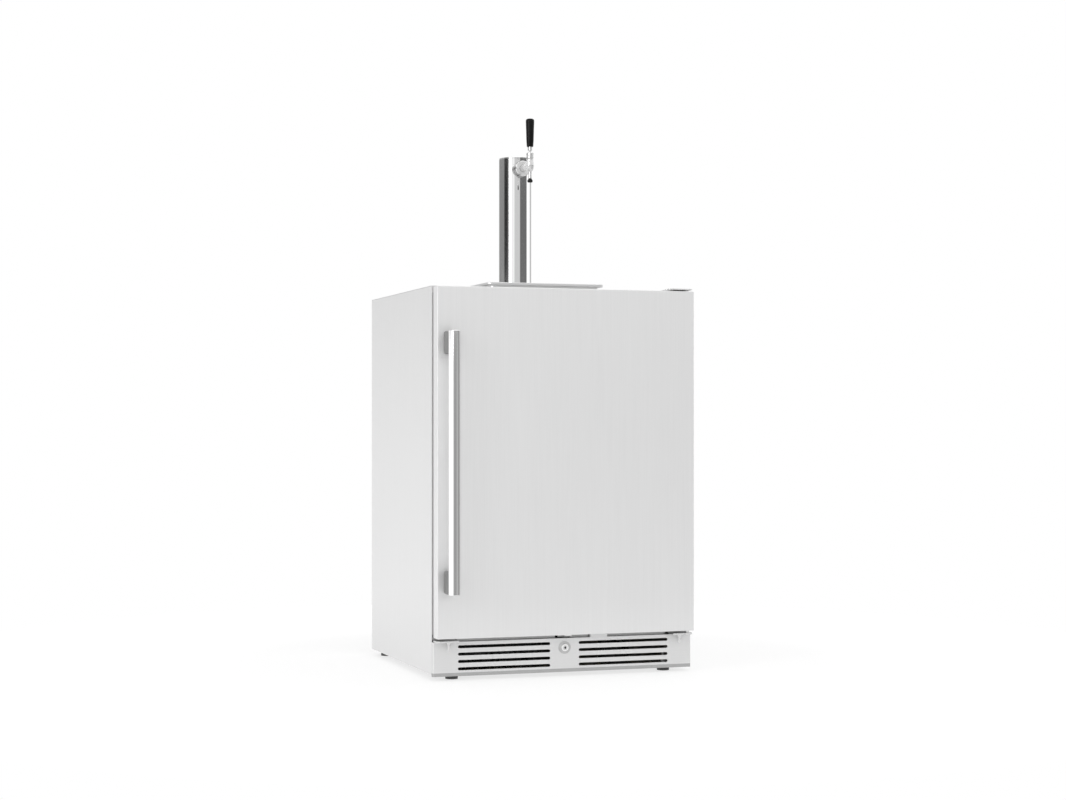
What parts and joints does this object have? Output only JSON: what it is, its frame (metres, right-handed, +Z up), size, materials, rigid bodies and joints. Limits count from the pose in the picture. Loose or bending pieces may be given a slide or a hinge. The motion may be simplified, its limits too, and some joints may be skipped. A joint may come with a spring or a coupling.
{
  "type": "kegerator",
  "caption": "Undercounter stainless draught-beer cabinet with a hinged door and tubular handle, a vented kick plate with a lock, and a single tower with tap and drip tray.",
  "frame": {"origin": "on the floor under the middle of the object's bounding box", "axes": "+Z up, the door faces -Y, +X to the right seen from the front"},
  "size_m": [0.605, 0.637, 1.2702],
  "materials": {
    "satin_stainless": "satin brushed",
    "bright_stainless": "polished",
    "zinc_steel": "satin",
    "black_steel": "satin",
    "white_liner": "satin",
    "grey_plastic": "satin",
    "grey_gasket": "matte",
    "black_plastic": "satin",
    "black_gloss": "gloss",
    "foam": "matte",
    "copper_tube": "satin",
    "bare_aluminium": "satin",
    "clear_hose": "gloss",
    "red_hose": "satin",
    "foot_grey": "satin"
  },
  "bodies": {
    "cabinet": {"left_side_panel": "satin_stainless", "right_side_panel": "satin_stainless", "top_panel": "satin_stainless", "back_panel": "zinc_steel", "rear_cover": "zinc_steel", "base_pan": "zinc_steel", "hinge_rail": "zinc_steel", "insulation_foam": "foam", "inner_liner": "white_liner", "front_frame": "grey_plastic", "kick_plate": "satin_stainless", "lock_barrel": "bright_stainless", "top_hinge_bracket": "satin_stainless", "bottom_hinge_brackets": "satin_stainless", "screws": "bright_stainless", "tower_flange": "bright_stainless", "tower_column": "bright_stainless", "tower_cap": "bright_stainless", "shank": "bright_stainless", "shank_flange": "bright_stainless", "coupling_nut": "bright_stainless", "faucet_body": "bright_stainless", "spout_tip": "black_plastic", "faucet_bonnet": "bright_stainless", "beer_line": "clear_hose", "gas_line": "red_hose", "evaporator_cover": "white_liner", "evaporator_coil": "bare_aluminium", "fan_motors": "black_plastic", "control_panel": "black_gloss", "compressor": "black_steel", "condenser_coil": "black_steel", "refrigerant_lines": "copper_tube", "power_inlet": "black_plastic", "co2_cylinder": "bare_aluminium", "wall_clips": "grey_plastic", "regulator_body": "bright_stainless", "keg_coupler": "bright_stainless"},
    "door": {"door_skin": "satin_stainless", "door_foam": "foam", "door_liner": "white_liner", "door_gasket": "grey_gasket", "door_hinge_bushes": "black_plastic", "handle_bar": "satin_stainless", "handle_posts": "satin_stainless", "lock_strike": "bright_stainless"},
    "lock": {"lock_plug": "bright_stainless"},
    "tap": {"tap_lever": "bright_stainless", "tap_handle": "black_gloss"},
    "tray": {"drip_tray": "satin_stainless"},
    "grate": {"drip_grate": "satin_stainless"},
    "foot_fl": {"foot_front_left": "foot_grey"},
    "foot_fr": {"foot_front_right": "foot_grey"},
    "foot_rl": {"foot_rear_left": "foot_grey"},
    "foot_rr": {"foot_rear_right": "foot_grey"},
    "evaporator_fan": {"evaporator_fan_blade": "grey_plastic"},
    "condenser_fan": {"condenser_fan_blade": "grey_plastic"},
    "gas_valve": {"cylinder_knob": "black_plastic"},
    "regulator": {"regulator_knob": "black_plastic"},
    "coupler_lever": {"coupler_handle": "black_plastic"}
  },
  "joints": [
    {"name": "door_hinge", "type": "hinge", "parent": "cabinet", "child": "door", "pos_m": [0.2895, -0.2445, 0.476], "axis": [0, 0, 1], "range_deg": [0, 110]},
    {"name": "lock_turn", "type": "hinge", "parent": "cabinet", "child": "lock", "pos_m": [0, -0.2215, 0.0635], "axis": [0, 1, 0], "range_deg": [0, 90]},
    {"name": "tap_lever_tilt", "type": "hinge", "parent": "cabinet", "child": "tap", "pos_m": [0, 0.0095, 1.185], "axis": [1, 0, 0], "range_deg": [0, 25]},
    {"name": "drip_tray_lift", "type": "slide", "parent": "cabinet", "child": "tray", "axis": [0, 0, 1], "range_m": [0, 0.05]},
    {"name": "drip_grate_lift", "type": "slide", "parent": "tray", "child": "grate", "axis": [0, 0, 1], "range_m": [0, 0.05]},
    {"name": "foot_fl_screw", "type": "slide", "parent": "cabinet", "child": "foot_fl", "axis": [0, 0, 1], "range_m": [-0.02, 0]},
    {"name": "foot_fr_screw", "type": "slide", "parent": "cabinet", "child": "foot_fr", "axis": [0, 0, 1], "range_m": [-0.02, 0]},
    {"name": "foot_rl_screw", "type": "slide", "parent": "cabinet", "child": "foot_rl", "axis": [0, 0, 1], "range_m": [-0.02, 0]},
    {"name": "foot_rr_screw", "type": "slide", "parent": "cabinet", "child": "foot_rr", "axis": [0, 0, 1], "range_m": [-0.02, 0]},
    {"name": "evaporator_fan_spin", "type": "hinge", "parent": "cabinet", "child": "evaporator_fan", "pos_m": [-0.045, 0.2585, 0.65], "axis": [0, 1, 0], "continuous": true},
    {"name": "condenser_fan_spin", "type": "hinge", "parent": "cabinet", "child": "condenser_fan", "pos_m": [0.135, -0.1845, 0.052], "axis": [0, 1, 0], "continuous": true},
    {"name": "gas_valve_turn", "type": "hinge", "parent": "cabinet", "child": "gas_valve", "pos_m": [0.18, 0.2165, 0.738], "axis": [0, 0, 1], "range_deg": [0, 540]},
    {"name": "regulator_turn", "type": "hinge", "parent": "cabinet", "child": "regulator", "pos_m": [0.122, 0.1765, 0.715], "axis": [0, 1, 0], "range_deg": [0, 540]},
    {"name": "coupler_lever_press", "type": "hinge", "parent": "cabinet", "child": "coupler_lever", "pos_m": [-0.228, -0.0475, 0.705], "axis": [1, 0, 0], "range_deg": [0, 45]}
  ]
}
